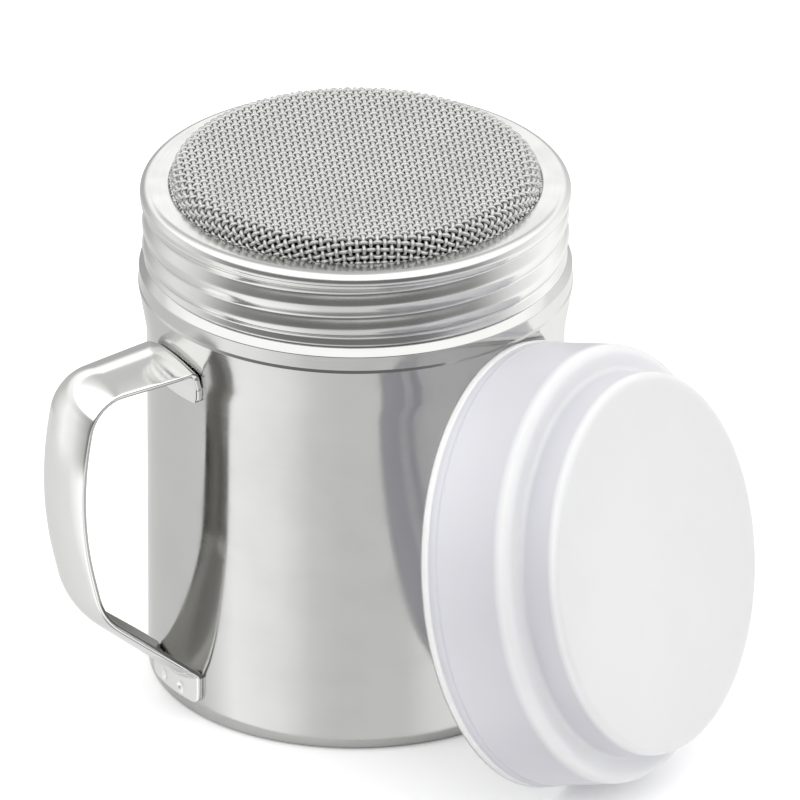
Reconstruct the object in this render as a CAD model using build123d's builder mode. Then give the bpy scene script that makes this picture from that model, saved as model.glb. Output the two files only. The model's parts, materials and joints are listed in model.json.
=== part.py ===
from build123d import *
import os
from math import asin, cos, degrees, hypot, pi, radians, sin, sqrt

# Hand shaker for icing sugar. A drawn steel can carries a strap handle and a screw-on lid with a woven
# screen, and the lid's plastic cover stands beside it, leaning on the can. All sizes are in millimetres.
# +Z is up, the origin is the centre of the can's base, and the handle points along -X.

# --- Can -------------------------------------------------------------------------------------------
sheet = 0.5                     # stainless sheet of the can and the lid's collar
can_radius = 33.75              # outside of the straight wall
base_corner_radius = 3.0        # outside corner between base and wall
wall_height = 60.5              # top of the straight wall, where the flare starts
flare_height = 8.2              # the wall opens out to the shoulder over this height
flare_growth = 1.4              # and by this much on the radius
flare_blend_radius = 16.0       # soft bends at both ends of the flare
shoulder_band_height = 4.3      # straight band above the flare
shoulder_edge_radius = 0.9      # rolled-over top edge of that band
neck_height = 10.9              # neck above the shoulder, inside the lid
neck_root_radius = 0.6          # hollow corner at the neck's foot

# --- Screw lid's collar ----------------------------------------------------------------------------
collar_clearance = 0.3          # between the neck and the collar's inside
shoulder_width = 1.3            # the skirt stands in from the shoulder by this much
skirt_gap = 1.0                 # between the shoulder and the skirt's lower edge
rib_height = 0.95               # rolled ribs stand out this far from the skirt
rib_crest_width = 1.0           # flat of a rib's crest
rib_flank_height = 1.1          # height of each sloping flank
rib_pitch = 4.2                 # from one rib to the next
rib_count = 2
first_rib_height = 2.1          # middle of the lowest rib above the skirt's lower edge
flange_overhang = 0.95          # the top flange stands out over the skirt
flange_width = 4.5              # from the flange's outer edge in to the screen's opening
flange_edge_height = 1.7        # the flange's rolled edge, top to underside
flange_edge_radius = 0.8        # rounding of that edge

# --- Screen and the ring that holds it --------------------------------------------------------------
screen_thickness = 0.8          # two layers of crossing wires
screen_gap = 0.4                # between the screen's wall and the flange's hole
screen_rise = 3.6               # flat top of the screen above the flange
screen_shoulder_radius = 3.0    # drawn corner between its wall and its top
screen_openings_across = 12     # the weave is drawn as a plain grid, four wires to each bar
screen_open_share = 0.66        # an opening's width as a share of the grid's step, as in the weave
weave_heading = -26.0           # degrees from +X that the wires run
ring_thickness = 0.8            # plain ring under the screen's rim
ring_width = 2.6

# --- Cover cap -------------------------------------------------------------------------------------
cap_fit = 0.05                  # the bore is this much wider than the flange, on the radius
cap_wall = 0.55                 # moulded wall
cap_draft = 0.3                 # the bore opens by this much towards its mouth
cap_skirt_height = 16.0         # mouth to the outside of the step
cap_lip_height = 1.5            # thicker lip around the mouth
cap_lip_proud = 0.25            # the lip stands out this far
cap_shoulder_radius = 2.6       # rounded edge of the skirt
cap_step_width = 4.2            # level step between the skirt and the raised top
cap_step_root_radius = 1.0      # hollow corner at the step's inner edge
cap_top_height = 6.4            # raised top above the step
cap_top_edge_radius = 1.8       # rounded edge of the raised top
cap_lean = 14.0                 # degrees by which the cap's axis points up from level
cap_heading = -60.5             # degrees from +X that its closed end faces
cap_offset = -16.5              # middle of the cap, sideways from the can's axis
cap_lean_clearance = 0.3        # air between the cap's lip and the can

# --- Handle ----------------------------------------------------------------------------------------
strap_thickness = 1.0
strap_crown_radius = 16.6       # the strap is bowed across its width, hollow side in
strap_root_width = 14.3         # width of the tabs and of the arms at the can
strap_grip_width = 12.6         # width of the grip
taper_length = 16.0             # the strap narrows over this distance from the wall
taper_blend_radius = 14.0       # soft start and end of that narrowing
upper_arm_lift = 4.3            # outer face of the upper arm at the wall, above the flare's start
upper_arm_reach = 19.95         # from the wall out to the grip's upper corner
upper_arm_drop = 1.95           # fall of the arm over that reach
upper_bend_radius = 8.5
grip_bow = 4.3                  # the grip bows out between its corners
grip_bow_radius = 60.0
lower_arm_lift = 2.85           # outer face of the lower arm at the wall, above the base corner
lower_arm_reach = 18.75         # from the wall out to the grip's lower corner
lower_arm_climb = 16.1          # climb of the arm over that reach
lower_bend_radius = 14.0
upper_tab_length = 7.5          # each tab below its arm's outer face
lower_tab_length = 2.7
tab_corner_radius = 1.6
root_bend_radius = 0.65         # bends between the arms and their tabs

# --- Sizes that follow from the ones above ---------------------------------------------------------
shoulder_radius = can_radius + flare_growth
skirt_radius = shoulder_radius - shoulder_width
flange_radius = skirt_radius + flange_overhang
screen_opening_radius = flange_radius - flange_width
flare_top = wall_height + flare_height
shoulder_top = flare_top + shoulder_band_height
neck_top = shoulder_top + neck_height
neck_radius = skirt_radius - sheet - collar_clearance
skirt_bottom = shoulder_top + skirt_gap
ring_top = neck_top + ring_thickness
screen_rim_top = ring_top + screen_thickness
screen_wall_radius = screen_opening_radius - screen_gap
flange_top = screen_rim_top + sheet
screen_top = flange_top + screen_rise
screen_flat_radius = screen_wall_radius - screen_shoulder_radius
grid_step = 2 * screen_flat_radius / screen_openings_across
screen_opening = grid_step * screen_open_share
cap_bore_radius = flange_radius + cap_fit
cap_mouth_radius = cap_bore_radius + cap_draft
cap_lip_radius = cap_mouth_radius + cap_wall + cap_lip_proud
cap_depth = cap_skirt_height + cap_top_height
cap_top_radius = cap_bore_radius + cap_wall - cap_step_width
upper_arm_height = wall_height + upper_arm_lift
lower_arm_height = base_corner_radius + lower_arm_lift
upper_corner = (-can_radius - upper_arm_reach, upper_arm_height - upper_arm_drop)
lower_corner = (-can_radius - lower_arm_reach, lower_arm_height + lower_arm_climb)
grip_middle = (
    (upper_corner[0] + lower_corner[0]) / 2 - grip_bow,
    (upper_corner[1] + lower_corner[1]) / 2,
)

# The can's outer wall from its straight part to the end of the flare, which the handle's tabs follow.
flare_line = ((can_radius, wall_height), (shoulder_radius, flare_top))

os.makedirs("parts", exist_ok=True)


def finish(piece, name):
    """Label the finished piece and write it to its own file."""
    piece.part.label = name
    export_step(piece.part, f"parts/{name}.step")


# --- Can body: one drawn shell with base, wall, flare, shoulder and neck ------------------------------
with BuildPart() as can_body:
    with BuildSketch(Plane.XZ):
        with BuildLine():
            FilletPolyline(
                (0, 0),
                (can_radius, 0),
                *flare_line,
                (shoulder_radius, shoulder_top),
                (neck_radius, shoulder_top),
                (neck_radius, neck_top),
                radius=(
                    base_corner_radius,
                    flare_blend_radius,
                    flare_blend_radius,
                    shoulder_edge_radius,
                    neck_root_radius,
                ),
            )
            offset(amount=sheet, side=Side.LEFT)
        make_face()
    revolve(axis=Axis.Z)
finish(can_body, "can_body")

# --- Lid collar: flange, rolled edge and ribbed skirt, pressed from one sheet -------------------------
rib_outline = []
for rib in reversed(range(rib_count)):
    rib_middle = skirt_bottom + first_rib_height + rib * rib_pitch
    crest_half = rib_crest_width / 2
    foot_half = crest_half + rib_flank_height
    rib_outline += [
        (skirt_radius, rib_middle + foot_half),
        (skirt_radius + rib_height, rib_middle + crest_half),
        (skirt_radius + rib_height, rib_middle - crest_half),
        (skirt_radius, rib_middle - foot_half),
    ]
flange_underside = flange_top - flange_edge_height
flange_edge_radii = [flange_edge_radius, flange_edge_radius]

with BuildPart() as lid_collar:
    with BuildSketch(Plane.XZ):
        with BuildLine():
            FilletPolyline(
                (screen_opening_radius, flange_top),
                (flange_radius, flange_top),
                (flange_radius, flange_underside),
                (skirt_radius, flange_underside - rib_flank_height),
                *rib_outline,
                (skirt_radius, skirt_bottom),
                radius=flange_edge_radii + [0] * (len(rib_outline) + 1),
            )
            offset(amount=sheet, side=Side.RIGHT)
        make_face()
    revolve(axis=Axis.Z)
finish(lid_collar, "lid_collar")

# --- Mesh screen: flat-topped dish, its rim flat under the flange -------------------------------------
with BuildPart() as mesh_screen:
    with BuildSketch(Plane.XZ):
        with BuildLine():
            FilletPolyline(
                (0, screen_top),
                (screen_wall_radius, screen_top),
                (screen_wall_radius, screen_rim_top),
                (neck_radius, screen_rim_top),
                radius=(screen_shoulder_radius, screen_gap),
            )
            offset(amount=screen_thickness, side=Side.RIGHT)
        make_face()
    revolve(axis=Axis.Z)
    # Square openings in rows along the wires, wherever a whole one lies on the flat top.
    middle_count = (screen_openings_across - 1) / 2
    grid_line = [(count - middle_count) * grid_step for count in range(screen_openings_across)]
    with BuildSketch(Plane.XY.offset(screen_top)):
        for across in grid_line:
            for along in grid_line:
                far_corner = hypot(abs(across) + screen_opening / 2, abs(along) + screen_opening / 2)
                if far_corner < screen_flat_radius:
                    with Locations(Vector(across, along).rotate(Axis.Z, weave_heading)):
                        Rectangle(screen_opening, screen_opening, rotation=weave_heading)
    extrude(amount=-screen_thickness, mode=Mode.SUBTRACT)
finish(mesh_screen, "mesh_screen")

# --- Mesh ring: clamps the screen's rim between the neck and the flange -------------------------------
with BuildPart() as mesh_ring:
    with BuildSketch(Plane.XY.offset(neck_top)):
        Circle(neck_radius)
        Circle(neck_radius - ring_width, mode=Mode.SUBTRACT)
    extrude(amount=ring_thickness)
finish(mesh_ring, "mesh_ring")


# --- Cover cap: stepped shell, leaning on the can beside the base -------------------------------------
def can_radius_at(height):
    """Outer radius of the can at a height, with the corners left sharp."""
    flared = (height - wall_height) / flare_height
    return can_radius + flare_growth * min(max(flared, 0), 1)


side = Vector(-sin(radians(cap_heading)), cos(radians(cap_heading)), 0)
forward = Vector(cos(radians(cap_heading)), sin(radians(cap_heading)), 0)
cap_axis = forward * cos(radians(cap_lean)) + Vector(0, 0, sin(radians(cap_lean)))
cap_rise = cap_lip_radius * cos(radians(cap_lean))
rim_steps = 180
cap_reach = 0
for step in range(rim_steps):
    angle = 2 * pi * step / rim_steps
    across = cap_offset + cap_lip_radius * cos(angle)
    stand_off = can_radius_at(cap_rise * (1 + sin(angle))) + cap_lean_clearance
    if abs(across) < stand_off:
        tilt_back = cap_lip_radius * sin(angle) * sin(radians(cap_lean))
        cap_reach = max(cap_reach, sqrt(stand_off**2 - across**2) + tilt_back)
cap_centre = forward * cap_reach + side * cap_offset + Vector(0, 0, cap_rise)
cap_plane = Plane(origin=cap_centre, x_dir=side, z_dir=side.cross(cap_axis))

with BuildPart() as cover_cap:
    with BuildSketch(cap_plane):
        with BuildLine():
            FilletPolyline(
                (cap_mouth_radius + cap_wall, 0),
                (cap_bore_radius + cap_wall, cap_skirt_height),
                (cap_top_radius, cap_skirt_height),
                (cap_top_radius, cap_depth),
                (0, cap_depth),
                radius=(cap_shoulder_radius, cap_step_root_radius, cap_top_edge_radius),
            )
            offset(amount=cap_wall, side=Side.LEFT)
        make_face()
        with BuildLine():
            Polyline(
                (cap_mouth_radius + cap_wall / 2, 0),
                (cap_lip_radius, 0),
                (cap_lip_radius, cap_lip_height),
                (cap_mouth_radius + cap_wall / 2, cap_lip_height),
                close=True,
            )
        make_face()
    revolve(axis=Axis(cap_centre, cap_axis))
finish(cover_cap, "cover_cap")

# --- Handle: one pressed strap with a tab at each end -------------------------------------------------
spare_width = strap_root_width + 2 * strap_thickness
root_depth = can_radius - sqrt(can_radius**2 - (spare_width / 2) ** 2)
tab_depth = can_radius - sqrt(can_radius**2 - (strap_root_width / 2) ** 2)
upper_slope = upper_arm_drop / upper_arm_reach
lower_slope = lower_arm_climb / lower_arm_reach
crown_angle = degrees(asin(spare_width / 2 / strap_crown_radius))
crown_depth = strap_crown_radius - sqrt(strap_crown_radius**2 - (strap_root_width / 2) ** 2)
inner_end_x = strap_thickness + root_depth - can_radius
grip_end_x = grip_middle[0] - strap_thickness
# Each tab's top lies inside its arm's thickness: height of its middle, how far its ends rise, and the foot.
lower_stretch = sqrt(1 + lower_slope**2)
tabs = (
    (upper_arm_height - strap_thickness / 2, -crown_depth, upper_arm_height - upper_tab_length),
    (
        lower_arm_height + strap_thickness * (lower_slope + lower_stretch) / 2,
        crown_depth * lower_stretch - tab_depth * lower_slope,
        lower_arm_height - lower_tab_length,
    ),
)

with BuildPart() as strap:
    # The outer face's middle line: out over the upper arm, down the grip and back to the wall.
    with BuildLine(Plane.XZ):
        strap_line = FilletPolyline(
            (root_depth - can_radius, upper_arm_height + upper_slope * root_depth),
            upper_corner,
            grip_middle,
            lower_corner,
            (root_depth - can_radius, lower_arm_height - lower_slope * root_depth),
            radius=(upper_bend_radius, grip_bow_radius, lower_bend_radius),
        )
    with BuildSketch(Plane(origin=strap_line @ 0, x_dir=(0, 1, 0), z_dir=strap_line % 0)):
        with BuildLine():
            CenterArc((0, strap_crown_radius), strap_crown_radius, -90 - crown_angle, 2 * crown_angle)
            offset(amount=strap_thickness, side=Side.LEFT)
        make_face()
    sweep()
    # Seen from above, the strap is widest at the can and narrows into the grip.
    with BuildSketch(Plane.XY):
        with BuildLine():
            FilletPolyline(
                (inner_end_x, 0),
                (inner_end_x, strap_root_width / 2),
                (-can_radius - 2 * strap_thickness, strap_root_width / 2),
                (-can_radius - taper_length, strap_grip_width / 2),
                (grip_end_x, strap_grip_width / 2),
                (grip_end_x, 0),
                radius=(0, taper_blend_radius, taper_blend_radius, 0),
            )
            mirror(about=Plane.XZ)
        make_face()
    extrude(amount=shoulder_top, mode=Mode.INTERSECT)

with BuildPart() as handle:
    # A band of strap metal around the wall, of which only the two tabs are kept.
    with BuildSketch(Plane.XZ):
        with BuildLine():
            FilletPolyline(
                (can_radius, base_corner_radius),
                *flare_line,
                radius=flare_blend_radius,
            )
            offset(amount=strap_thickness, side=Side.RIGHT)
        make_face()
    revolve(axis=Axis.Z)
    with BuildSketch(Plane.YZ) as tab_fronts:
        for top_height, top_rise, foot_height in tabs:
            half = strap_root_width / 2
            with BuildLine():
                ThreePointArc((-half, top_height + top_rise), (0, top_height), (half, top_height + top_rise))
                Polyline(
                    (half, top_height + top_rise),
                    (half, foot_height),
                    (-half, foot_height),
                    (-half, top_height + top_rise),
                )
            make_face()
        for front in tab_fronts.faces():
            fillet(front.vertices().group_by(Axis.Y)[0], radius=tab_corner_radius)
    extrude(amount=-shoulder_radius - strap_thickness, mode=Mode.INTERSECT)
    add(strap.part)
    # The strap is trimmed to the outside of the wall.
    with BuildSketch(Plane.XZ):
        with BuildLine():
            FilletPolyline(
                (0, 0),
                (can_radius, 0),
                *flare_line,
                (0, flare_top),
                radius=(0, flare_blend_radius, 0),
            )
            Line((0, flare_top), (0, 0))
        make_face()
    revolve(axis=Axis.Z, mode=Mode.SUBTRACT)
    # Both faces of the bend between each arm and its tab.
    upper_root_x = -can_radius_at(upper_arm_height)
    bend_points = (
        (upper_root_x, 0, upper_arm_height),
        (upper_root_x - strap_thickness, 0, upper_arm_height - strap_thickness),
        (-can_radius - strap_thickness, 0, lower_arm_height + lower_slope * strap_thickness),
        (-can_radius, 0, lower_arm_height + strap_thickness * lower_stretch),
    )
    for bend_point in bend_points:
        fillet(handle.edges().sort_by_distance(bend_point)[0], radius=root_bend_radius)
finish(handle, "handle")
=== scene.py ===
"""Looks of an icing-sugar shaker: steel can with a strap handle, screw-on mesh lid and cover cap."""
import json
import logging
import math
from collections.abc import Callable
from dataclasses import dataclass
from enum import Enum

import bpy
import numpy as np
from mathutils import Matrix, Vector


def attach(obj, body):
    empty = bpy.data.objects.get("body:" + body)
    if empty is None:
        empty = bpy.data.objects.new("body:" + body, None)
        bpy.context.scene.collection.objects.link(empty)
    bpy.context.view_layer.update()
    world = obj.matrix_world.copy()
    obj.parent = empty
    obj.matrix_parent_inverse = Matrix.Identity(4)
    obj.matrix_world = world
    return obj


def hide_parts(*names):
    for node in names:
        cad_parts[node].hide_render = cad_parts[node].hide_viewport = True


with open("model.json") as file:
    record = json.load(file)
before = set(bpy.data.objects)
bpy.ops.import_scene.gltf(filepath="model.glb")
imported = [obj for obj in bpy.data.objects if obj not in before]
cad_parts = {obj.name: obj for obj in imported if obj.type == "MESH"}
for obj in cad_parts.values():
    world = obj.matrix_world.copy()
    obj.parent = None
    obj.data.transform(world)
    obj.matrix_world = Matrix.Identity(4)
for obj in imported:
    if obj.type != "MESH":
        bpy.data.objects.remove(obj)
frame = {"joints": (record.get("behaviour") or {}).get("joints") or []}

LOG = logging.getLogger("shaker")
MM = 0.001  # the sizes below are in millimetres, Blender's are in metres
TURN = 2 * math.pi
TINY = 1e-6  # a radius under this is on the axis
CLOSE = 0.01  # mm, points this close count as at the same height or depth
VIEW_AZIMUTH = -31.1  # degrees round the can from -Y to the camera
VIEW_ELEVATION = 26.4


class Body(Enum):
    """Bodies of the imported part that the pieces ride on."""

    CAN = "can"
    LID_CARRIER = "lid_carrier"
    LID = "lid"
    CAP = "cap"


class Slot(Enum):
    """Material slots of the record."""

    CAN = "can_steel"
    HANDLE = "handle_steel"
    LID = "lid_steel"
    SCREEN = "screen_wire"
    CAP = "cap_plastic"


class Grain(Enum):
    """Which way the fine lines of a steel finish run."""

    AROUND = "around the can's axis"
    ALONG_STRAP = "along the strap, across Y"


# --- Small tools ---


def linear(hex_colour: str) -> tuple[float, float, float, float]:
    """Turns an sRGB hex colour into Blender's linear RGBA.

    Args:
        hex_colour: six hex digits.

    Returns:
        Linear red, green, blue and an alpha of 1.
    """
    values = [int(hex_colour[i : i + 2], 16) / 255 for i in (0, 2, 4)]
    # The next line holds the constants of the sRGB curve.
    r, g, b = (v / 12.92 if v <= 0.04045 else ((v + 0.055) / 1.055) ** 2.4 for v in values)
    return (r, g, b, 1.0)


def add(
    tree: bpy.types.NodeTree, kind: str, inputs: dict | None = None, **settings: str
) -> bpy.types.Node:
    """Adds a node.

    Args:
        tree: node tree that takes it.
        kind: Blender's name of the node type, without its ShaderNode.
        inputs: what its inputs get, as feed takes it. A Mix node's colours are inputs 6 and 7 and its output
            2, and its plain numbers are inputs 2 and 3 and output 0.
        settings: attributes of the node.

    Returns:
        The new node.
    """
    node = tree.nodes.new("ShaderNode" + kind)
    for key, value in settings.items():
        setattr(node, key, value)
    feed(node, inputs or {})
    return node


def feed(node: bpy.types.Node, inputs: dict) -> None:
    """Sets or links inputs of a node.

    Args:
        node: the node.
        inputs: by name or number, a value, a socket to link, or a node whose first output is linked.
    """
    for key, source in inputs.items():
        if isinstance(source, bpy.types.Node):
            source = source.outputs[0]
        if isinstance(source, bpy.types.NodeSocket):
            node.id_data.links.new(source, node.inputs[key])
        else:
            node.inputs[key].default_value = source


def set_stops(ramp: bpy.types.Node, stops: list) -> None:
    """Sets the stops of a colour ramp.

    Args:
        ramp: node of the ramp.
        stops: position and linear colour of each.
    """
    elements = ramp.color_ramp.elements
    while len(elements) < len(stops):
        elements.new(0.5)
    for element, (position, colour) in zip(elements, stops):
        element.position, element.color = position, colour


def new_material(name: str) -> tuple[bpy.types.Material, bpy.types.NodeTree, bpy.types.Node]:
    """Makes a plain material.

    Args:
        name: its name.

    Returns:
        The material, its node tree and its shader.
    """
    material = bpy.data.materials.new(name)
    material.use_nodes = True
    return material, material.node_tree, material.node_tree.nodes["Principled BSDF"]


def put_in_scene(name: str, data: bpy.types.ID) -> bpy.types.Object:
    """Makes an object and links it to the scene.

    Args:
        name: its name.
        data: its mesh or camera.

    Returns:
        The new object.
    """
    item = bpy.data.objects.new(name, data)
    bpy.context.scene.collection.objects.link(item)
    return item


def smoothstep(value: np.ndarray, low: float, high: float) -> np.ndarray:
    """Returns 0 below low, 1 above high and a soft ramp between them."""
    t = np.clip((np.asarray(value, float) - low) / (high - low), 0, 1)
    return t * t * (3 - 2 * t)


def unit(vectors: np.ndarray) -> np.ndarray:
    """Brings a vector, or each of an array of them, to length 1."""
    return vectors / np.linalg.norm(vectors, axis=-1, keepdims=True)


def rounded_path(points: list, radii: list, arc_step: float = 7.5) -> np.ndarray:
    """Rounds the inner corners of a line of points in a plane.

    Args:
        points: corner points.
        radii: radius of each inner corner, 0 where it stays sharp.
        arc_step: largest turn between two points of an arc, in degrees.

    Returns:
        Points of the rounded line.
    """
    corners = [np.array(p, float) for p in points]
    out = [corners[0]]
    for before, corner, after, radius in zip(corners, corners[1:], corners[2:], radii):
        if radius == 0:
            out.append(corner)
            continue
        a, b = unit(before - corner), unit(after - corner)
        half = math.acos(float(np.clip(a @ b, -1, 1))) / 2
        middle = corner + unit(a + b) * radius / math.sin(half)
        start, end = (
            math.atan2(*(corner + side * radius / math.tan(half) - middle)[::-1]) for side in (a, b)
        )
        steps = max(2, math.ceil(math.degrees(math.pi - 2 * half) / arc_step))
        sweep = (end - start + math.pi) % TURN - math.pi
        for k in range(steps + 1):
            angle = start + sweep * k / steps
            out.append(middle + radius * np.array([math.cos(angle), math.sin(angle)]))
    out.append(corners[-1])
    return np.array(out)


def path_sides(path: np.ndarray) -> np.ndarray:
    """Returns the unit vectors to the left of a plane path at its points."""
    step = np.gradient(path, axis=0)
    return unit(np.stack([-step[:, 1], step[:, 0]], 1))


def resampled(path: np.ndarray, spacing: float) -> np.ndarray:
    """Adds points to a path.

    Args:
        path: its points.
        spacing: longest step between two of them.

    Returns:
        Points of the finer path.
    """
    out = [path[0]]
    for a, b in zip(path, path[1:]):
        steps = max(1, math.ceil(float(np.linalg.norm(b - a)) / spacing))
        out += [a + (b - a) * k / steps for k in range(1, steps + 1)]
    return np.array(out)


def make_piece(
    name: str,
    verts: np.ndarray,
    faces: list,
    body: Body,
    node: str,
    material: bpy.types.Material,
) -> bpy.types.Object:
    """Makes a mesh piece, dresses it and puts it on its body.

    Args:
        name: name of the piece.
        verts: vertex positions in millimetres, in the row's frame.
        faces: vertex numbers of each face.
        body: body that the piece rides on.
        node: CAD node that it stands for.
        material: Blender material.

    Returns:
        The new object.
    """
    mesh = bpy.data.meshes.new(name)
    mesh.from_pydata((np.asarray(verts) * MM).tolist(), [], faces)
    mesh.validate()
    mesh.polygons.foreach_set("use_smooth", [True] * len(mesh.polygons))
    mesh.update()
    piece = put_in_scene(name, mesh)
    mesh.materials.append(material)
    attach(piece, body.value)
    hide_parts(node)
    LOG.info("%s: %d faces on body %s", name, len(faces), body.value)
    return piece


def turned(profile: np.ndarray, segments: int, bulge: Callable | None = None) -> tuple[np.ndarray, list]:
    """Turns a profile round the Z axis.

    Args:
        profile: rows of radius and height. A row at radius 0 becomes a single middle vertex.
        segments: steps round the axis.
        bulge: optional function of heights and angles that returns what is added to the radius.

    Returns:
        Vertices in millimetres and faces. A profile that ends where it starts makes a closed ring.
    """
    closed = bool(np.allclose(profile[0], profile[-1]))
    rows = profile[:-1] if closed else profile
    angles = np.arange(segments) * TURN / segments
    radius = np.repeat(rows[:, :1], segments, 1)
    height = np.repeat(rows[:, 1:], segments, 1)
    if bulge is not None:
        radius = radius + bulge(height, angles[None, :])
    ring = np.stack([radius * np.cos(angles), radius * np.sin(angles), height], -1)
    verts, starts = [], []
    for row, points in zip(rows, ring):
        pole = row[0] < TINY
        starts.append((len(verts), pole))
        verts += [points[0]] if pole else list(points)
    faces = []
    following = starts[1:] + (starts[:1] if closed else [])
    for (low, low_pole), (high, high_pole) in zip(starts, following):
        for k in range(segments):
            n = (k + 1) % segments
            if low_pole:
                faces.append((low, high + n, high + k))
            elif high_pole:
                faces.append((low + k, low + n, high))
            else:
                faces.append((low + k, low + n, high + n, high + k))
    return np.array(verts), faces


def band_between(a: int, b: int, count: int) -> list:
    """Returns the faces between two closed loops of count vertices that start at vertices a and b."""
    return [(a + k, b + k, b + (k + 1) % count, a + (k + 1) % count) for k in range(count)]


def run_along(path: np.ndarray) -> np.ndarray:
    """Returns the distance along a path at each of its points."""
    return np.concatenate([[0], np.cumsum(np.linalg.norm(np.diff(path, axis=0), axis=1))])


def shell_profile(outside: np.ndarray, thickness: float, lip: int = 4) -> np.ndarray:
    """Gives an outside line of a sheet its thickness, with rounded lips at free ends.

    Args:
        outside: outer line of a turned shell, with the metal on its left.
        thickness: sheet thickness.
        lip: steps of each half-round lip.

    Returns:
        The outer line, a lip, and the inner line back. A line that starts on the axis ends on it too.
    """
    left = path_sides(outside)
    inside = outside + left * thickness
    starts_on_axis = outside[0, 0] < TINY

    def half_round(k: int) -> list:
        """Rounds a free end.

        Args:
            k: the line's first point, 0, or its last, -1.

        Returns:
            Points of the lip.
        """
        middle, out = (outside[k] + inside[k]) / 2, (outside[k] - inside[k]) / 2
        along = np.array([out[1], -out[0]]) * (1 if k else -1)
        turns = [math.pi * (j + 1) / (lip + 1) for j in range(lip)]
        return [middle + (out if k else -out) * math.cos(t) - along * math.sin(t) for t in turns]

    rows = list(outside) + half_round(-1) + list(inside[::-1])
    if starts_on_axis:
        rows[-1] = np.array([0.0, rows[-1][1]])
        return np.array(rows)
    return np.array(rows + half_round(0) + [outside[0]])


# --- Finishes ---


@dataclass(frozen=True)
class StainlessSteel:
    """Stainless steel 304 sheet or wire, worked to a given gloss."""

    name: str
    colour: str = "CDCDCB"  # pale grey, hardly warm, as chromium steel reflects
    roughness: float = 0.16
    roughness_spread: float = 0.05  # how far polishing lines and smudges change the roughness
    grain: Grain = Grain.AROUND
    line_spacing: float = 0.35  # mm; real grit lines are near 0.05 mm, too fine to show
    line_length: float = 18.0  # mm
    line_depth: float = 0.0025  # mm
    line_share: float = 0.6  # weight of the lines beside the smudges in the roughness
    smudge_size: float = 9.0  # mm, handling marks and cloth streaks
    smudge_shade: float = 0.94  # colour under a smudge, as a share of the clean one
    marks_range: tuple = (0.55, 1.05)  # sums of both noises at the glossiest and the dullest places
    wall_radius: float = 34.0  # mm, the radius at which an angle round the axis becomes a length

    def grain_vector(self, tree: bpy.types.NodeTree, place: bpy.types.NodeSocket) -> bpy.types.Node:
        """Builds coordinates that are long along the lines and short across them.

        Args:
            tree: node tree of the material.
            place: socket with the place on the object.

        Returns:
            Node with the noise coordinates.
        """
        across = 1 / (self.line_spacing * MM)
        along = 1 / (self.line_length * MM)
        if self.grain is Grain.ALONG_STRAP:
            factors = (along, across, along)
        else:
            factors = (self.wall_radius * MM * along, across, across)
            x, y, z = add(tree, "SeparateXYZ", {0: place}).outputs
            angle = add(tree, "Math", {0: y, 1: x}, operation="ARCTAN2")
            plan = add(tree, "VectorMath", {0: place, 1: (1, 1, 0)}, operation="MULTIPLY")
            radius = add(tree, "VectorMath", {0: plan}, operation="LENGTH").outputs["Value"]
            place = add(tree, "CombineXYZ", {0: angle, 1: radius, 2: z})
        return add(tree, "VectorMath", {0: place, 1: factors}, operation="MULTIPLY")

    def material(self) -> bpy.types.Material:
        """Builds the material.

        Returns:
            Metal with polishing lines in its roughness and bump, and faint smudges.
        """
        material, tree, shader = new_material(self.name)
        place = add(tree, "TexCoord").outputs["Object"]
        lines = add(tree, "TexNoise", {
            "Vector": self.grain_vector(tree, place), "Scale": 1.0, "Detail": 3.0, "Roughness": 0.6,
        })
        smudges = add(tree, "TexNoise", {
            "Vector": place, "Scale": 1 / (self.smudge_size * MM), "Detail": 2.0, "Roughness": 0.55,
        })
        marks = add(tree, "Math", {0: lines, 1: self.line_share, 2: smudges}, operation="MULTIPLY_ADD")
        low, high = self.marks_range
        spread = self.roughness_spread
        rough = add(tree, "MapRange", {
            "Value": marks, "From Min": low, "From Max": high,
            "To Min": self.roughness - spread, "To Max": self.roughness + spread,
        })
        clean = linear(self.colour)
        worn = tuple(v * self.smudge_shade for v in clean[:3]) + (1.0,)
        tint = add(tree, "Mix", {0: smudges, 6: clean, 7: worn}, data_type="RGBA").outputs[2]
        bump = add(tree, "Bump", {"Height": lines, "Strength": 1.0, "Distance": self.line_depth * MM})
        feed(shader, {"Base Color": tint, "Metallic": 1.0, "Roughness": rough, "Normal": bump})
        return material


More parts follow.
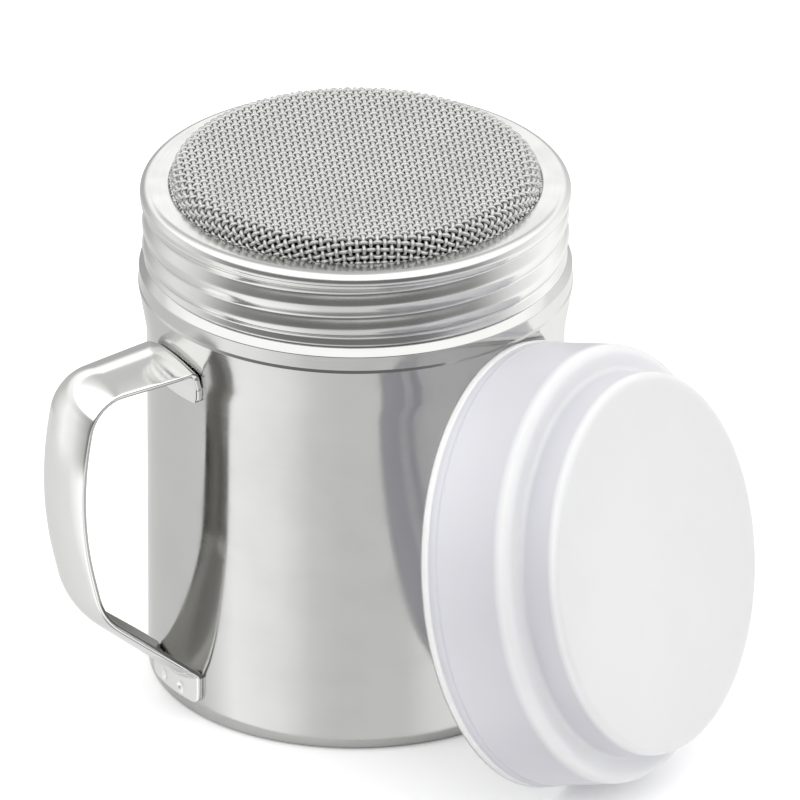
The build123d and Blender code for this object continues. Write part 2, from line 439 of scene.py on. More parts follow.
@dataclass(frozen=True)
class Polypropylene:
    """White injection-moulded polypropylene: waxy, soft-edged highlights, lets a little light through."""

    name: str = "moulded polypropylene"
    # Height above the mouth in mm and colour there. These bands are painted light and shade: painted
    # highlights on the lip, the shoulder's edge and the face's edge, painted shade on the skirt and the
    # riser, and a painted shadow of the snap bead at 2.9 mm.
    painted_light_tones: tuple = (
        (0.0, "F8F8FA"), (1.2, "F8F8FA"), (1.5, "D2D2DB"), (2.5, "DBDBE2"), (2.9, "CBCBD5"),
        (3.3, "DADAE2"), (13.2, "D1D1D8"), (14.6, "F4F4F7"), (15.8, "E8E8ED"), (16.6, "CECED5"),
        (20.6, "D2D2D8"), (21.7, "F6F6F9"), (22.3, "E2E2E4"),
    )
    clouding: float = 0.975  # colour in the darkest clouds of the flow marks, as a share of the plain one
    cloud_range: tuple = (0.2, 0.8)  # values of the flow noise where the clouds start and are full
    roughness: float = 0.3
    roughness_spread: float = 0.04  # how far the mould grain changes the roughness
    ior: float = 1.49
    subsurface: float = 0.9
    depth: float = 2.0  # mm that light travels inside the wall
    depth_by_colour: tuple = (1.0, 1.0, 1.05)  # blue goes a little further
    grain_size: float = 0.4  # mm; the mould's real spark texture is half as large, too fine to show
    grain_depth: float = 0.004  # mm
    flow_size: float = 12.0  # mm, cloudy flow marks of the melt

    def material(self, mouth: tuple, axis: Vector) -> bpy.types.Material:
        """Builds the material.

        Args:
            mouth: middle of the cap's mouth in mm.
            axis: direction from the mouth to the closed end.

        Returns:
            Waxy white plastic with mould grain, cloudy flow marks, and painted highlights and shade in bands
            along the axis.
        """
        material, tree, shader = new_material(self.name)
        place = add(tree, "TexCoord").outputs["Object"]
        flow, grain = (
            add(tree, "TexNoise", {"Vector": place, "Scale": 1 / (size * MM), "Detail": 2.0})
            for size in (self.flow_size, self.grain_size)
        )
        origin = tuple(v * MM for v in mouth)
        above = add(tree, "VectorMath", {0: place, 1: origin}, operation="SUBTRACT")
        height = add(tree, "VectorMath", {0: above, 1: tuple(axis)}, operation="DOT_PRODUCT")
        top = self.painted_light_tones[-1][0]
        share = add(tree, "Math", {0: height.outputs["Value"], 1: top * MM}, operation="DIVIDE")
        # The ramp paints light and shade into the colour, in bands by height along the cap's axis.
        ramp = add(tree, "ValToRGB", {0: share})
        set_stops(ramp, [(level / top, linear(colour)) for level, colour in self.painted_light_tones])
        low, high = self.cloud_range
        clouds = add(tree, "MapRange", {"Value": flow, "From Min": low, "From Max": high})
        darker = add(tree, "VectorMath", {0: ramp, "Scale": self.clouding}, operation="SCALE")
        tint = add(tree, "Mix", {0: clouds, 6: ramp, 7: darker}, data_type="RGBA").outputs[2]
        low, high = self.roughness - self.roughness_spread, self.roughness + self.roughness_spread
        rough = add(tree, "MapRange", {"Value": grain, "To Min": low, "To Max": high})
        bump = add(tree, "Bump", {"Height": grain, "Strength": 1.0, "Distance": self.grain_depth * MM})
        feed(shader, {
            "Base Color": tint, "Roughness": rough, "Normal": bump, "IOR": self.ior,
            "Subsurface Weight": self.subsurface, "Subsurface Scale": self.depth * MM,
            "Subsurface Radius": self.depth_by_colour,
        })
        return material


@dataclass(frozen=True)
class TableLaminate:
    """Matt melamine laminate, pressed: an even pale ground with soft shadows and no mirror image."""

    name: str = "matt table laminate"
    colour: str = "F4F4F4"
    mottle: str = "F1F1F1"  # the paper under the melamine is never quite even
    mottle_scale: float = 60.0  # blotches per metre
    roughness: float = 0.9
    gloss: float = 0.1
    lift: float = 0.3  # brings the lit table up to white for the camera, its shadows stay

    def material(self) -> bpy.types.Material:
        """Builds the material.

        Returns:
            Matt off-white plastic, lifted to white where the camera sees it.
        """
        material, tree, shader = new_material(self.name)
        noise = add(tree, "TexNoise", {"Scale": self.mottle_scale, "Detail": 2.0})
        colours = {6: linear(self.colour), 7: linear(self.mottle)}
        tint = add(tree, "Mix", {0: noise, **colours}, data_type="RGBA").outputs[2]
        seen = add(tree, "LightPath").outputs["Is Camera Ray"]
        lift = add(tree, "Math", {0: seen, 1: self.lift}, operation="MULTIPLY")
        feed(shader, {
            "Base Color": tint, "Roughness": self.roughness, "Specular IOR Level": self.gloss,
            "Emission Color": (1, 1, 1, 1), "Emission Strength": lift,
        })
        return material


# --- Sub-assemblies ---


@dataclass(frozen=True)
class Thread:
    """Right-hand thread that is rolled into the neck and the collar alike."""

    pitch: float = 4.2
    crest_height: float = 76.0  # height of a crest at the crest angle
    crest_angle: float = math.radians(VIEW_AZIMUTH - 90)
    start: float = 74.3
    end: float = 84.0
    run_out: float = 0.8  # height over which the thread grows at its start and dies away at its end
    root: float = 0.12  # how round the roots are: 0 would be a sharp groove between round crests

    def depth_share(self, height: np.ndarray, angle: np.ndarray) -> np.ndarray:
        """Shapes the thread.

        Args:
            height: heights in mm.
            angle: angles round the axis.

        Returns:
            How far it stands out there, from 0 in a root to 1 on a crest.
        """
        phase = (height - self.crest_height) / self.pitch - (angle - self.crest_angle) / TURN
        wave = np.hypot(np.cos(math.pi * phase), self.root) - self.root
        wave = wave / (math.hypot(1, self.root) - self.root)
        fade_in = smoothstep(height, self.start, self.start + self.run_out)
        fade_out = 1 - smoothstep(height, self.end - self.run_out, self.end)
        return wave * fade_in * fade_out


@dataclass(frozen=True)
class Can:
    """Drawn can with base, wall, flare, shoulder and threaded neck."""

    sheet: float = 0.5
    radius: float = 33.75
    base_corner: float = 1.6
    wall_height: float = 60.5
    flare_top: float = 68.7
    shoulder_radius: float = 35.15
    flare_bend: float = 16.0
    step: float = 0.16  # the band above the flare is set in by this much, a line that catches the light
    step_height: float = 0.45
    step_bend: float = 0.25
    shoulder_top: float = 73.0
    shoulder_cone: float = 1.45  # width and height of the cone between the band and the level shoulder
    cone_bends: tuple = (0.3, 0.4)  # at the cone's lower and upper end
    neck_radius: float = 33.05
    neck_top: float = 83.9
    neck_bend: float = 0.3
    thread_depth: float = 0.55
    thread_foot: tuple = (1.0, 2.0)  # heights above the shoulder between which the thread grows
    thread_head: tuple = (1.2, 0.3)  # depths below the neck's rim between which it dies away
    wall_spacing: float = 6.0  # largest step of the mesh on the wall
    neck_spacing: float = 0.25  # and on the neck
    segments: int = 288

    def wall_radius(self, height: float) -> float:
        """Returns the outer radius of the wall at a height, its bends left out."""
        share = (height - self.wall_height) / (self.flare_top - self.wall_height)
        return self.radius + (self.shoulder_radius - self.radius) * min(max(share, 0.0), 1.0)

    def build(self, thread: Thread, material: bpy.types.Material) -> None:
        """Builds the can.

        Args:
            thread: thread of the neck.
            material: finish of the steel.
        """
        band = self.shoulder_radius - self.step
        outside = rounded_path(
            [
                (0, 0), (self.radius, 0),
                (self.radius, self.wall_height), (self.shoulder_radius, self.flare_top),
                (band, self.flare_top + self.step_height), (band, self.shoulder_top - self.shoulder_cone),
                (band - self.shoulder_cone, self.shoulder_top),
                (self.neck_radius, self.shoulder_top), (self.neck_radius, self.neck_top),
            ],
            [
                self.base_corner, self.flare_bend, self.step_bend, self.step_bend,
                *self.cone_bends, self.neck_bend,
            ],
        )
        outside = resampled(outside, self.wall_spacing)
        low = outside[:, 1] < self.shoulder_top + CLOSE
        neck = resampled(np.vstack([outside[low][-1:], outside[~low]]), self.neck_spacing)[1:]
        profile = shell_profile(np.vstack([outside[low], neck]), self.sheet)
        foot = [self.shoulder_top + rise for rise in self.thread_foot]
        head = [self.neck_top - drop for drop in self.thread_head]

        def bulge(height: np.ndarray, angle: np.ndarray) -> np.ndarray:
            """Returns the thread's depth on the neck."""
            on_neck = smoothstep(height, *foot) * (1 - smoothstep(height, *head))
            return self.thread_depth * thread.depth_share(height, angle) * on_neck

        verts, faces = turned(profile, self.segments, bulge)
        make_piece("can_shell", verts, faces, Body.CAN, "can_body", material)


@dataclass(frozen=True)
class LidCollar:
    """Screw ring of the lid: flat flange with a rolled edge over a threaded skirt."""

    sheet: float = 0.5
    bottom: float = 73.3
    top: float = 86.0
    skirt_radius: float = 33.85
    foot_radius: float = 34.2
    foot_top: float = 74.9
    thread_depth: float = 0.62
    flange_radius: float = 34.8
    opening_radius: float = 30.3
    edge_height: float = 1.9
    edge_radius: float = 1.6
    flank_height: float = 1.1  # the slope between the skirt and the flange's edge
    bends: tuple = (0.4, 0.5, 0.7)  # foot, slope's lower end, slope's upper end
    spacing: float = 0.25  # largest step of the mesh along the profile
    segments: int = 288

    def build(self, thread: Thread, material: bpy.types.Material) -> None:
        """Builds the collar.

        Args:
            thread: thread of the skirt.
            material: finish of the steel.
        """
        underside = self.top - self.edge_height
        outside = rounded_path(
            [
                (self.foot_radius, self.bottom), (self.skirt_radius, self.foot_top),
                (self.skirt_radius, underside - self.flank_height), (self.flange_radius, underside),
                (self.flange_radius, self.top), (self.opening_radius, self.top),
            ],
            [*self.bends, self.edge_radius],
        )
        profile = shell_profile(resampled(outside, self.spacing), self.sheet)

        def bulge(height: np.ndarray, angle: np.ndarray) -> np.ndarray:
            """Returns the thread's depth on the skirt."""
            return self.thread_depth * thread.depth_share(height, angle)

        verts, faces = turned(profile, self.segments, bulge)
        make_piece("lid_screw_ring", verts, faces, Body.LID, "lid_collar", material)


@dataclass(frozen=True)
class MeshScreen:
    """Plain-woven wire screen, drawn to a dish with a flat top."""

    pitch: float = 1.13  # wire to wire
    wire: float = 0.67  # wire diameter
    top: float = 89.6
    wall_radius: float = 29.9
    shoulder: float = 3.0
    rim_height: float = 84.7
    rim_radius: float = 32.9
    foot: float = 0.8  # bend between the dish's wall and its rim
    arc_step: float = 3.0  # degrees
    heading: float = math.radians(VIEW_AZIMUTH + 5.0)  # the wires run nearly across the view
    samples: int = 4  # points per wire pitch
    fewest_steps: int = 4  # of the short wires at the edge
    sides: int = 5

    def dish(self) -> tuple[np.ndarray, np.ndarray]:
        """Draws the screen's section.

        Returns:
            Its middle line from the centre to the rim, and the run along it.
        """
        top = self.top - self.wire
        wall = self.wall_radius - self.wire
        rim = self.rim_height + self.wire
        line = rounded_path(
            [(0, top), (wall, top), (wall, rim), (self.rim_radius, rim)],
            [self.shoulder - self.wire, self.foot],
            self.arc_step,
        )
        return line, run_along(line)

    def wires(self, along: np.ndarray, across: np.ndarray, first: bool) -> tuple[np.ndarray, list]:
        """Builds one family of wires.

        Args:
            along: unit vector along the wires, in plan.
            across: unit vector from wire to wire, in plan.
            first: whether this family starts over the other one.

        Returns:
            Vertices in millimetres and faces.
        """
        line, run = self.dish()
        columns = (*line.T, *path_sides(line).T)
        blank = run[-1]  # radius of the flat disc that the dish was drawn from
        radius = self.wire / 2
        ring = np.arange(self.sides)[:, None] * TURN / self.sides
        beside, above = radius * np.cos(ring), radius * np.sin(ring)
        verts, faces = [], []
        start = 0
        count = int(blank / self.pitch)
        for number in range(-count, count + 1):
            offset = number * self.pitch
            half = math.sqrt(blank**2 - offset**2)
            steps = max(self.fewest_steps, round(2 * half * self.samples / self.pitch))
            t = np.linspace(-half, half, steps + 1)
            plan = t[:, None] * along + offset * across
            flat = np.linalg.norm(plan, axis=1)
            out = plan / np.maximum(flat, TINY)[:, None]
            r, z, slope_r, slope_z = (np.interp(flat, run, column) for column in columns)
            weave = np.cos(math.pi * (t / self.pitch + number)) * radius * (1 if first else -1)
            r = r + slope_r * weave
            middle = np.column_stack([out * r[:, None], z + slope_z * weave])
            tangent = unit(np.gradient(middle, axis=0))
            sideways = unit(np.cross(tangent, np.column_stack([out * slope_r[:, None], slope_z])))
            up = np.cross(sideways, tangent)
            tube = middle[:, None] + beside * sideways[:, None] + above * up[:, None]
            verts.append(tube.reshape(-1, 3))
            last = start + steps * self.sides
            for a in range(start, last, self.sides):
                faces += band_between(a, a + self.sides, self.sides)
            faces.append(tuple(start + k for k in range(self.sides)))
            faces.append(tuple(last + k for k in reversed(range(self.sides))))
            start = last + self.sides
        return np.vstack(verts), faces

    def build(self, material: bpy.types.Material) -> None:
        """Builds both families of wires.

        Args:
            material: finish of the wire.
        """
        along = np.array([math.cos(self.heading), math.sin(self.heading)])
        across = np.array([-along[1], along[0]])
        for name, a, b in (("warp_wires", along, across), ("weft_wires", across, along)):
            verts, faces = self.wires(a, b, name == "warp_wires")
            make_piece(name, verts, faces, Body.LID, "mesh_screen", material)


@dataclass(frozen=True)
class ClampRing:
    """Plain ring that holds the screen's rim up against the flange."""

    outer: float = 33.05
    width: float = 2.6
    bottom: float = 83.9
    thickness: float = 0.8
    edge: float = 0.15
    arc_step: float = 30.0  # degrees
    segments: int = 192

    def build(self, material: bpy.types.Material) -> None:
        """Builds the ring.

        Args:
            material: finish of the steel.
        """
        inner = self.outer - self.width
        top = self.bottom + self.thickness
        middle = (self.outer + inner) / 2
        profile = rounded_path(
            [
                (middle, self.bottom), (self.outer, self.bottom), (self.outer, top), (inner, top),
                (inner, self.bottom), (middle, self.bottom),
            ],
            [self.edge] * 4,
            self.arc_step,
        )
        verts, faces = turned(profile, self.segments)
        make_piece("clamp_ring", verts, faces, Body.LID_CARRIER, "mesh_ring", material)


@dataclass(frozen=True)
class CoverCap:
    """Stepped cover of thin plastic, with a lip round its mouth and a snap bead inside."""

    centre: tuple = (6.911, -45.723, 34.882)  # middle of the mouth
    wall: float = 0.55
    bore_radius: float = 34.75
    draft: float = 0.4
    skirt_height: float = 15.62
    lip_height: float = 1.4
    lip_proud: float = 0.25
    lip_fade: tuple = (-0.25, 0.05)  # its edge falls off between these, counted from the lip's height
    bead_height: float = 2.9
    bead_proud: float = 0.1
    bead_reach: float = 0.5  # half the bead's height
    rim_round: float = 0.3  # the mouth's edge is rounded over this height
    rim_steps: int = 6
    fine_zone: float = 4.0  # from the mouth up to here the mesh is fine
    fine: float = 0.1  # spacing of the mesh there
    coarse: float = 1.0  # and elsewhere
    shoulder: float = 1.9
    step_width: float = 4.5
    step_root: float = 1.0
    top_height: float = 6.78
    top_edge: float = 1.3
    segments: int = 240

    def build(self, axis: Vector, material: bpy.types.Material) -> None:
        """Builds the cap.

        Args:
            axis: direction from the mouth to the closed end.
            material: finish of the plastic.
        """
        mouth = self.bore_radius + self.draft + self.wall
        top_radius = self.bore_radius + self.wall - self.step_width
        depth = self.skirt_height + self.top_height
        outside = rounded_path(
            [
                (mouth, 0), (self.bore_radius + self.wall, self.skirt_height),
                (top_radius, self.skirt_height), (top_radius, depth), (0, depth),
            ],
            [self.shoulder, self.step_root, self.top_edge],
        )
        split = outside[0] + (outside[1] - outside[0]) * self.fine_zone / outside[1, 1]
        outside = np.vstack([
            resampled(np.array([outside[0], split]), self.fine),
            resampled(np.vstack([split, outside[1:]]), self.coarse)[1:],
        ])
        left = path_sides(outside)
        left[-1] = (0, -1)
        inside = outside + left * self.wall
        inside[-1, 0] = 0
        height = outside[:, 1].copy()
        lip_end = [self.lip_height + fade for fade in self.lip_fade]
        lip = self.lip_proud * (1 - smoothstep(height, *lip_end))
        bead = self.bead_proud * (1 - smoothstep(np.abs(height - self.bead_height), 0.0, self.bead_reach))
        on_skirt = np.arange(len(outside)) < np.argmax(height > self.skirt_height - CLOSE)
        outside = outside + np.column_stack([np.where(on_skirt, lip + bead, 0), np.zeros(len(outside))])
        middle, half = (outside[0] + inside[0]) / 2, (inside[0] - outside[0]) / 2
        rim = [
            middle - half * math.cos(t) + np.array([0, self.rim_round]) * (1 - math.sin(t))
            for t in (math.pi * k / self.rim_steps for k in range(1, self.rim_steps))
        ]
        outside[0, 1] = inside[0, 1] = self.rim_round
        profile = np.vstack([inside[::-1], rim[::-1], outside])
        verts, faces = turned(profile, self.segments)
        turn = Vector((0, 0, 1)).rotation_difference(axis).to_matrix()
        placed = verts @ np.array(turn).T + np.array(self.centre)
        make_piece("cover", placed, faces, Body.CAP, "cover_cap", material)


@dataclass(frozen=True)
class StrapHandle:
    """Pressed strap: a tab on the wall at each end, crowned arms and a narrower grip."""

    thickness: float = 1.0
    edge: float = 0.3  # rounding of the strap's long edges
    crown_radius: float = 16.6
    root_width: float = 14.3
    grip_width: float = 12.6
    taper_reach: tuple = (1.5, 16.0)  # the strap narrows between these distances from the wall
    upper_root: tuple = (34.48, 64.8)  # corners of the outer face: reach from the can's axis, and height
    upper_corner: tuple = (53.7, 62.85)
    grip_middle: tuple = (57.4, 42.4)
    lower_corner: tuple = (52.5, 21.95)
    lower_root: tuple = (34.75, 6.71)
    upper_foot: float = 57.3  # heights of the tabs' free ends
    lower_foot: float = 3.15
    root_bend: float = 1.5
    lower_root_bend: float = 0.7
    upper_bend: float = 8.5
    bow: float = 60.0  # radius of the grip's bow
    lower_bend: float = 14.0
    tab_corner: float = 1.6
    crown_reach: float = 2.2  # over this distance the tab's round hollow becomes the arm's crown
    mitre_reach: tuple = (2.0, 12.0)  # between these the arm forgets that its root follows the round wall
    upper_tab_fade: tuple = (0.8, 6.0)  # and so does the upper tab, between these distances from the root
    lower_tab_fade: tuple = (0.8, 2.6)
    arc_step: float = 1.5  # degrees
    fine_reach: float = 4.0  # up to this distance from the wall the mesh is fine
    fine: float = 0.3
    coarse: float = 1.0
    face_steps: int = 44
    edge_steps: int = 4
    probe: float = 0.02  # step across the face that shows which way it looks
    welds: tuple = ((-2.6, 4.9), (2.6, 4.9))  # spot welds on the lower tab: across, and height
    dent_radius: float = 1.15
    dent_flat: float = 0.3  # the part of that radius that is as deep as the middle
    dent_depth: float = 0.3
    weld_reach: float = 1.6  # only metal this near to the lower tab's plane is marked

    def line(self, can: Can) -> np.ndarray:
        """Draws the strap from the side.

        Args:
            can: the can that it is welded to.

        Returns:
            Middle line of its outer face, as reach from the can's axis and height.
        """
        path = rounded_path(
            [
                (can.wall_radius(self.upper_foot), self.upper_foot),
                (can.wall_radius(can.wall_height), can.wall_height),
                self.upper_root, self.upper_corner, self.grip_middle, self.lower_corner, self.lower_root,
                (self.lower_root[0], self.lower_foot),
            ],
            [0, self.root_bend, self.upper_bend, self.bow, self.lower_bend, self.lower_root_bend],
            self.arc_step,
        )
        near = path[:, 0] < can.radius + self.fine_reach
        first = int(np.argmin(near))
        last = len(path) - int(np.argmin(near[::-1]))
        return np.vstack([
            resampled(path[: first + 1], self.fine)[:-1],
            resampled(path[first:last], self.coarse)[:-1],
            resampled(path[last - 1 :], self.fine),
        ])

    def half_width(self, reach: np.ndarray, run: np.ndarray, can: Can) -> np.ndarray:
        """Gives half the strap's width along it.

        Args:
            reach: distance from the can's axis, one for each step along the strap.
            run: distance along the strap at the same places.
            can: the can that it is welded to.

        Returns:
            Half the width there, less where a tab's corners are round.
        """
        taper = smoothstep(reach - can.radius, *self.taper_reach)
        half = (self.root_width + (self.grip_width - self.root_width) * taper) / 2
        from_foot = np.minimum(run - run[0], run[-1] - run)
        short = np.clip(self.tab_corner - from_foot, 0, self.tab_corner)
        return half - self.tab_corner + np.sqrt(self.tab_corner**2 - short**2)

    def section(self) -> tuple[np.ndarray, np.ndarray, np.ndarray]:
        """Draws the loop round the strap: outer face, edge, inner face, other edge.

        Returns:
            Share of the flat half-width, extra across, and depth of each point.
        """
        flat = np.linspace(-1, 1, self.face_steps + 1)
        corner = np.linspace(0, math.pi / 2, self.edge_steps + 1)
        rise, run = self.edge * np.sin(corner), self.edge * np.cos(corner)
        share = np.concatenate([flat, np.ones(2 * self.edge_steps)])
        extra = np.concatenate([0 * flat, rise[1:], run[:-1]])
        depth = np.concatenate([0 * flat, self.edge - run[1:], self.thickness - self.edge + rise[:-1]])
        # The second half of the loop is the first, turned by half a turn.
        second = (-share, -extra, self.thickness - depth)
        return tuple(np.concatenate(halves) for halves in zip((share, extra, depth), second))

    def surface(self, path: np.ndarray, across: np.ndarray, can: Can) -> np.ndarray:
        """Places points of the outer face.

        Args:
            path: middle line, one row per step along the strap.
            across: distance from the middle line, one row per step along the strap.
            can: the can that the tabs lie on.

        Returns:
            Positions in the shaker's frame, where the handle points along -X.
        """
        upper = path[:, 1] > self.grip_middle[1]
        inward = -path_sides(path)
        sag = self.crown_radius - np.sqrt(self.crown_radius**2 - across**2)
        hug = can.radius - np.sqrt(can.radius**2 - across**2)
        reach = path[:, :1] + 0 * across
        height = path[:, 1:] + 0 * across
        for rows, corner, root, turn, tab_fade in (
            (upper, self.upper_corner, self.upper_root, -1, self.upper_tab_fade),
            (~upper, self.lower_corner, self.lower_root, 1, self.lower_tab_fade),
        ):
            arm = unit(np.array(corner) - np.array(root))
            normal = turn * np.array([-arm[1], arm[0]])
            # Off its middle line the arm meets the round wall later, so its root slides along the arm.
            slide = (-hug - normal[0] * sag) / arm[0]
            distance = (path[:, 0] - root[0])[:, None]
            on_arm = smoothstep(distance, 0.0, self.crown_reach)
            mitre = 1 - smoothstep(distance, *self.mitre_reach)
            drop = np.abs(path[:, 1] - root[1])[:, None]
            arm_reach = inward[:, :1] * sag + arm[0] * slide * mitre
            arm_height = inward[:, 1:] * sag + arm[1] * slide * mitre
            tab_height = (normal[1] * sag + arm[1] * slide) * (1 - smoothstep(drop, *tab_fade))
            reach[rows] += (on_arm * arm_reach - (1 - on_arm) * hug)[rows]
            height[rows] += (on_arm * arm_height + (1 - on_arm) * tab_height)[rows]
        return np.stack([-reach, -across, height], -1)

    def build(self, can: Can, material: bpy.types.Material, inside: bpy.types.Material) -> None:
        """Builds the handle.

        Args:
            can: the can that it is welded to.
            material: polished finish of the face and the edges.
            inside: duller finish of the face on the fingers' side, with painted shade in its dark grey
                colour.
        """
        path = self.line(can)
        half = self.half_width(path[:, 0], run_along(path), can)
        share, extra, depth = self.section()
        across = share[None, :] * (half[:, None] - self.edge) + extra[None, :]
        skin = self.surface(path, across, can)
        beside = self.surface(path, across + self.probe, can)
        normal = unit(np.cross(beside - skin, np.gradient(skin, axis=0)))
        verts = self.weld_dents(skin + normal * depth[None, :, None], normal, depth)
        count = len(share)
        faces = []
        for row in range(len(path) - 1):
            faces += band_between(row * count, (row + 1) * count, count)
        faces += self.end_cap(0, count, True) + self.end_cap((len(path) - 1) * count, count, False)
        piece = make_piece(
            "strap_handle", verts.reshape(-1, 3), faces, Body.CAN, "handle", material
        )
        piece.data.materials.append(inside)
        # The inner face, bar the tabs, gets the second material, whose dark grey colour is painted shade.
        deep = np.tile(depth > self.thickness - CLOSE, len(path))
        on_tab = np.repeat(path[:, 0] < self.upper_root[0] + self.edge, count)
        for polygon in piece.data.polygons:
            corners = list(polygon.vertices)
            if len(corners) == 4 and deep[corners].all() and not on_tab[corners].all():
                polygon.material_index = 1

    def end_cap(self, start: int, count: int, first: bool) -> list:
        """Closes an end of the strap.

        Args:
            start: number of the loop's first vertex.
            count: vertices of the loop.
            first: whether it is the strap's first end.

        Returns:
            Strips from the outer face to the inner one, and a face in each rounded edge.
        """
        far = self.face_steps + 2 * self.edge_steps + 1  # where the inner face starts
        back = far + self.face_steps
        loops = [(k, k + 1, back - k - 1, back - k) for k in range(self.face_steps)]
        loops += [tuple(range(self.face_steps, far + 1)), (*range(back, count), 0)]
        if not first:
            loops = [loop[:1] + loop[:0:-1] for loop in loops]
        return [tuple(start + k for k in loop) for loop in loops]

    def weld_dents(self, verts: np.ndarray, normal: np.ndarray, depth: np.ndarray) -> np.ndarray:
        """Presses the round marks of the spot welds into the lower tab.

        Args:
            verts: positions, one row per step along the strap.
            normal: unit vectors from the outer face into the metal at the same places.
            depth: depth of each place of a row under the outer face.

        Returns:
            The positions with the marks.
        """
        at_can = verts[..., 0] > -self.lower_root[0] - self.weld_reach
        marked = at_can & (depth < CLOSE)[None, :]
        flat = self.dent_flat * self.dent_radius
        for across, height in self.welds:
            reach = np.hypot(verts[..., 1] - across, verts[..., 2] - height)
            dip = self.dent_depth * (1 - smoothstep(reach, flat, self.dent_radius))
            verts = verts + normal * np.where(marked, dip, 0)[..., None]
        return verts


# --- Studio ---


@dataclass(frozen=True)
class Studio:
    """Pale table, a tent of light that the steel mirrors, and the camera."""

    table_size: float = 6.0  # m
    spot_radius: float = 37.5  # mm, just wider than the can
    spot_sides: int = 96
    frame_width: float = 129.4  # mm across the picture at the object
    aim_right: float = 7.15  # mm from the can's axis to the picture's middle
    aim_height: float = 46.6  # mm
    distance: float = 4.0  # m
    sensor: float = 36.0  # mm
    clip: tuple = (0.1, 20.0)  # m
    # Rings of the tent from the ground up: the sines of the elevations between which a ring takes over from
    # the one below, and its brightness by azimuth in degrees from the front to the right.
    rings: tuple = (
        (-1.0, -1.0, ((-180, 0.26), (0, 0.26), (180, 0.26))),
        (-0.96, -0.84, (
            (-180, 0.82), (-155, 0.76), (-95, 0.87), (-86, 1.05), (-72, 1.34), (-44, 1.22), (-34, 1.09),
            (-24, 0.92), (-8, 0.84), (28, 0.84), (42, 1.05), (70, 1.2), (110, 1.4), (150, 1.2), (180, 0.82),
        )),
        (-0.36, -0.26, (
            (-180, 0.45), (-140, 0.6), (-110, 1.1), (-92, 0.95), (-66, 0.32), (-30, 0.2), (30, 0.2),
            (62, 0.32), (88, 1.0), (120, 1.4), (150, 0.9), (180, 0.45),
        )),
        (0.16, 0.34, (
            (-180, 1.3), (-140, 1.1), (-114, 1.0), (-92, 0.75), (-66, 0.32), (-30, 0.2), (30, 0.2),
            (62, 0.32), (88, 0.8), (120, 1.15), (150, 1.15), (180, 1.3),
        )),
        (0.38, 0.44, (
            (-180, 1.45), (-150, 1.4), (-114, 1.4), (-90, 1.5), (0, 1.6), (90, 1.5), (130, 1.4),
            (180, 1.45),
        )),
        (0.46, 0.56, (
            (-180, 0.62), (-162, 0.64), (-142, 0.95), (-125, 1.45), (-100, 1.6), (0, 1.6), (110, 1.6),
            (140, 1.3), (160, 0.75), (180, 0.62),
        )),
    )

    def toward(self) -> Vector:
        """Finds the side that the camera looks from.

        Returns:
            Direction from the object to the camera.
        """
        azimuth, elevation = math.radians(VIEW_AZIMUTH), math.radians(VIEW_ELEVATION)
        flat = math.cos(elevation)
        return Vector((math.sin(azimuth) * flat, -math.cos(azimuth) * flat, math.sin(elevation)))

    def camera(self) -> None:
        """Adds the camera."""
        azimuth = math.radians(VIEW_AZIMUTH)
        aim = Vector((math.cos(azimuth), math.sin(azimuth), 0)) * self.aim_right * MM
        aim.z = self.aim_height * MM
        data = bpy.data.cameras.new("camera")
        data.sensor_width = self.sensor
        data.lens = self.sensor * self.distance / (self.frame_width * MM)
        data.clip_start, data.clip_end = self.clip
        camera = put_in_scene("camera", data)
        camera.location = aim + self.toward() * self.distance
        camera.rotation_euler = (-self.toward()).to_track_quat("-Z", "Y").to_euler()
        bpy.context.scene.camera = camera

    def table_top(self) -> None:
        """Adds the pale table: white to the camera, with the object's shadow on it."""
        material = TableLaminate().material()
        angles = np.arange(self.spot_sides) * TURN / self.spot_sides
        circle = np.column_stack([np.cos(angles), np.sin(angles), 0 * angles])
        inner, outer = circle * self.spot_radius * MM, circle * self.table_size / 2
        around = band_between(0, self.spot_sides, self.spot_sides)
        under = [tuple(range(self.spot_sides))]
        # The can mirrors only the spot that it stands on. The rest of the table lets the tent's lower rings
        # through to the wall.
        for name, verts, faces, mirrored in (
            ("table", np.vstack([inner, outer]), around, False), ("spot", inner, under, True)
        ):
            mesh = bpy.data.meshes.new(name)
            mesh.from_pydata(verts.tolist(), [], faces)
            top = put_in_scene(name, mesh)
            mesh.materials.append(material)
            top.visible_glossy = mirrored

    def surround(self) -> None:
        """Adds the surround: plain white to the camera, a tent of bright and grey parts to the object."""
        world = bpy.data.worlds.new("tent")
        bpy.context.scene.world = world
        world.use_nodes = True
        tree = world.node_tree
        ray = add(tree, "TexCoord").outputs["Generated"]
        turn = {"Vector": ray, "Angle": math.radians(90 - VIEW_AZIMUTH)}
        turned_ray = add(tree, "VectorRotate", turn, rotation_type="Z_AXIS")
        x, y, z = add(tree, "SeparateXYZ", {0: turned_ray}).outputs
        angle = add(tree, "Math", {0: y, 1: x}, operation="ARCTAN2")
        share = add(tree, "MapRange", {"Value": angle, "From Min": -math.pi, "From Max": math.pi})
        tent = self.ring(tree, share, self.rings[0][2])
        for low, high, stops in self.rings[1:]:
            levels = {"Value": z, "From Min": low, "From Max": high}
            rise = add(tree, "MapRange", levels, interpolation_type="SMOOTHSTEP")
            above = self.ring(tree, share, stops)
            tent = add(tree, "Mix", {0: rise, 2: tent, 3: above}, data_type="FLOAT")
        seen = add(tree, "LightPath").outputs["Is Camera Ray"]
        strength = add(tree, "Mix", {0: seen, 2: tent, 3: 1.0}, data_type="FLOAT")
        feed(tree.nodes["Background"], {"Color": (1, 1, 1, 1), "Strength": strength})

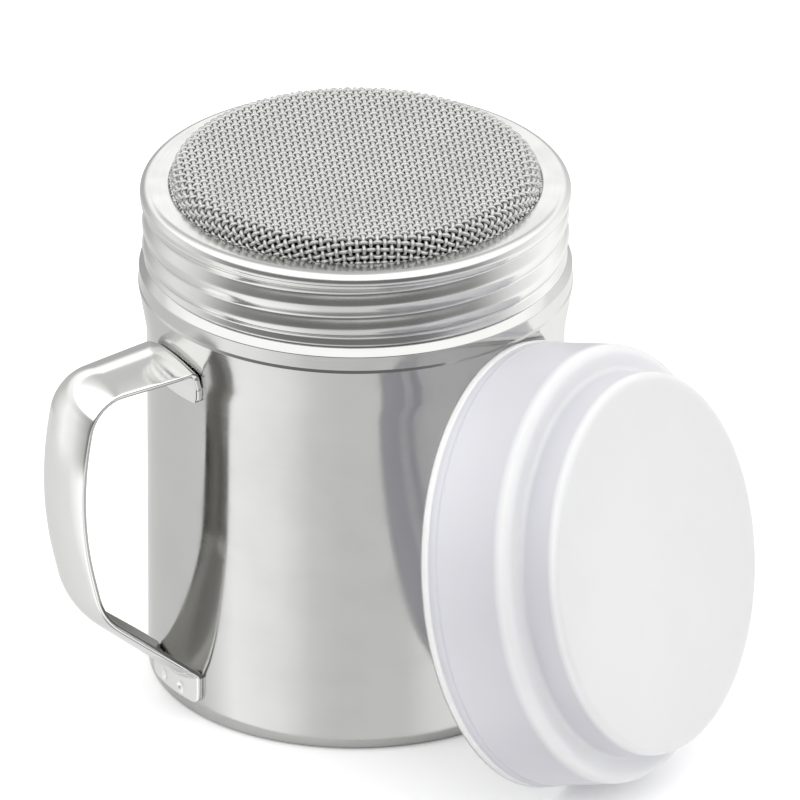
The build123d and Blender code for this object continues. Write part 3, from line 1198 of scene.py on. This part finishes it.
    def ring(self, tree: bpy.types.NodeTree, share: bpy.types.Node, stops: tuple) -> bpy.types.Node:
        """Adds a ring of the tent.

        Args:
            tree: node tree of the world.
            share: node with the share of a turn, the front at a half.
            stops: azimuths and brightnesses.

        Returns:
            Node with the brightness.
        """
        ramp = add(tree, "ValToRGB", {0: share})
        top = max(value for _, value in stops)
        set_stops(ramp, [(azimuth / 360 + 0.5, (value / top,) * 3 + (1,)) for azimuth, value in stops])
        return add(tree, "Math", {0: ramp, 1: top}, operation="MULTIPLY")

    def build(self) -> None:
        """Builds the studio."""
        self.camera()
        self.table_top()
        self.surround()
        bpy.context.scene.view_settings.view_transform = "Standard"


def main() -> None:
    """Builds the shaker and its studio."""
    logging.basicConfig(level=logging.INFO, format="%(name)s: %(message)s")
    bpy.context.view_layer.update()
    # Deep-drawn and then polished while it turns: near to a mirror, drawn out by fine lines round the can.
    wall_steel = StainlessSteel("drawn and polished stainless steel", roughness=0.13)
    # Pressed and brushed: broader, softer lights, and lines that show on the flange and the thread.
    lid_steel = StainlessSteel(
        "satin stainless steel", colour="DDDDDB", roughness=0.2, line_spacing=0.4, line_depth=0.004
    )
    # Buffed along its length: the brightest steel of all, with tight lights where it bends.
    strap_steel = StainlessSteel(
        "polished stainless steel strap", colour="F0F0EE", roughness=0.1, grain=Grain.ALONG_STRAP
    )
    # As it left the rolling mill, where no buff reaches: flatter. Its dark grey colour is painted shade on
    # the face that looks at the can.
    strap_inside_painted_shade = StainlessSteel(
        "mill-finish stainless steel painted dark as shade", colour="A1A09D", roughness=0.2, grain=Grain.ALONG_STRAP
    )
    # Drawn through a die and woven: each wire only glints, so that the weave looks matt as a whole.
    wire_steel = StainlessSteel(
        "drawn stainless steel wire", colour="D4D4D2", roughness=0.5, roughness_spread=0.08
    )
    can = Can()
    thread = Thread()
    lid_finish = lid_steel.material()
    can.build(thread, wall_steel.material())
    LidCollar().build(thread, lid_finish)
    MeshScreen().build(wire_steel.material())
    ClampRing().build(lid_finish)
    cap_joint = next(joint for joint in frame["joints"] if joint["name"] == "cap_slide")
    cap, cap_axis = CoverCap(), Vector(cap_joint["axis"])
    cap.build(cap_axis, Polypropylene().material(cap.centre, cap_axis))
    StrapHandle().build(can, strap_steel.material(), strap_inside_painted_shade.material())
    Studio().build()


if __name__ == "__main__":
    main()
